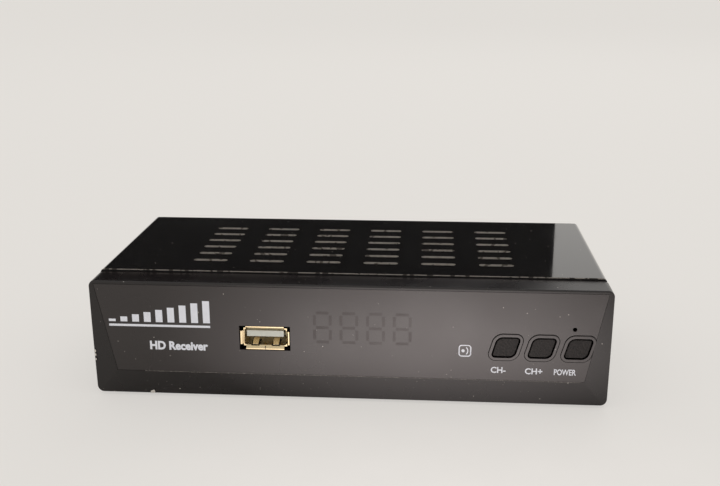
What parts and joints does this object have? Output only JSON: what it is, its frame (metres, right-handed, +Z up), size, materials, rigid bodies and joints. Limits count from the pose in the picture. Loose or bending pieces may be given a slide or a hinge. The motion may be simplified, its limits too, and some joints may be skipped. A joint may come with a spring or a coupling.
{
  "type": "satellite television receiver",
  "caption": "Small box receiver: folded black steel case, moulded front frame with leaning push buttons, smoked display window, USB socket and rear aerial, video and power sockets.",
  "frame": {"origin": "on the floor under the centre of the bounding box", "axes": "+X to the right seen from the front, along the longest side; +Z up, the shortest side; the front face looks along -Y"},
  "size_m": [0.155, 0.0828, 0.0381],
  "materials": {
    "bezel_plastic": "satin moulded ABS",
    "window_plastic": "smoked acrylic, satin",
    "cover_paint": "gloss black paint on folded steel",
    "chassis_paint": "satin black paint on folded steel",
    "foot_rubber": "moulded rubber",
    "black_screw": "black zinc plated",
    "bright_screw": "zinc plated",
    "button_plastic": "spark-textured ABS",
    "switch_plastic": "moulded",
    "plunger_plastic": "moulded",
    "board_laminate": "green solder mask",
    "header_plastic": "moulded",
    "usb_nickel": "warm nickel plate",
    "tongue_plastic": "white moulded",
    "contact_gold": "gold flash",
    "socket_nickel": "nickel plate",
    "insulator_plastic": "natural polyethylene",
    "jack_plastic": "moulded",
    "tin_plate": "tinned steel",
    "sink_aluminium": "black anodised",
    "pad_silicone": "soft silicone",
    "capacitor_sleeve": "heat-shrink sleeve",
    "ferrite": "ferrite",
    "display_plastic": "dark face with pale figures",
    "lamp_epoxy": "red epoxy"
  },
  "bodies": {
    "root": {"front_bezel": "bezel_plastic", "front_window": "window_plastic", "top_cover": "cover_paint", "bottom_chassis": "chassis_paint", "foot_front_left": "foot_rubber", "foot_front_right": "foot_rubber", "foot_rear_left": "foot_rubber", "foot_rear_right": "foot_rubber", "cover_screws": "black_screw", "bezel_screws": "black_screw", "front_board_screws": "bright_screw", "board_screws": "bright_screw", "board_standoffs": "bright_screw", "channel_down_switch": "switch_plastic", "channel_up_switch": "switch_plastic", "power_switch": "switch_plastic", "front_board": "board_laminate", "main_board": "board_laminate", "board_link_header": "header_plastic", "memory_chip": "header_plastic", "flash_chip": "header_plastic", "processor": "header_plastic", "usb_shell": "usb_nickel", "usb_tongue": "tongue_plastic", "usb_contacts": "contact_gold", "dc_pin": "contact_gold", "lnb_socket": "socket_nickel", "antenna_socket": "socket_nickel", "video_shell": "socket_nickel", "lnb_insulator": "insulator_plastic", "antenna_insulator": "insulator_plastic", "video_tongue": "jack_plastic", "av_jack": "jack_plastic", "data_jack": "jack_plastic", "dc_jack": "jack_plastic", "tuner_can": "tin_plate", "tuner_lid": "tin_plate", "crystal": "tin_plate", "heat_sink": "sink_aluminium", "thermal_pad": "pad_silicone", "capacitors": "capacitor_sleeve", "power_inductors": "ferrite", "display_module": "display_plastic", "standby_led": "lamp_epoxy", "ir_receiver": "lamp_epoxy"},
    "channel_down": {"channel_down_button": "button_plastic", "channel_down_plunger": "plunger_plastic"},
    "channel_up": {"channel_up_button": "button_plastic", "channel_up_plunger": "plunger_plastic"},
    "power": {"power_button": "button_plastic", "power_plunger": "plunger_plastic"}
  },
  "joints": [
    {"name": "channel_down_press", "type": "slide", "parent": "root", "child": "channel_down", "axis": [0, 1, 0], "range_m": [0, 0.0003], "stiffness_N_per_m": 2000},
    {"name": "channel_up_press", "type": "slide", "parent": "root", "child": "channel_up", "axis": [0, 1, 0], "range_m": [0, 0.0003], "stiffness_N_per_m": 2000},
    {"name": "power_press", "type": "slide", "parent": "root", "child": "power", "axis": [0, 1, 0], "range_m": [0, 0.0003], "stiffness_N_per_m": 2000}
  ]
}
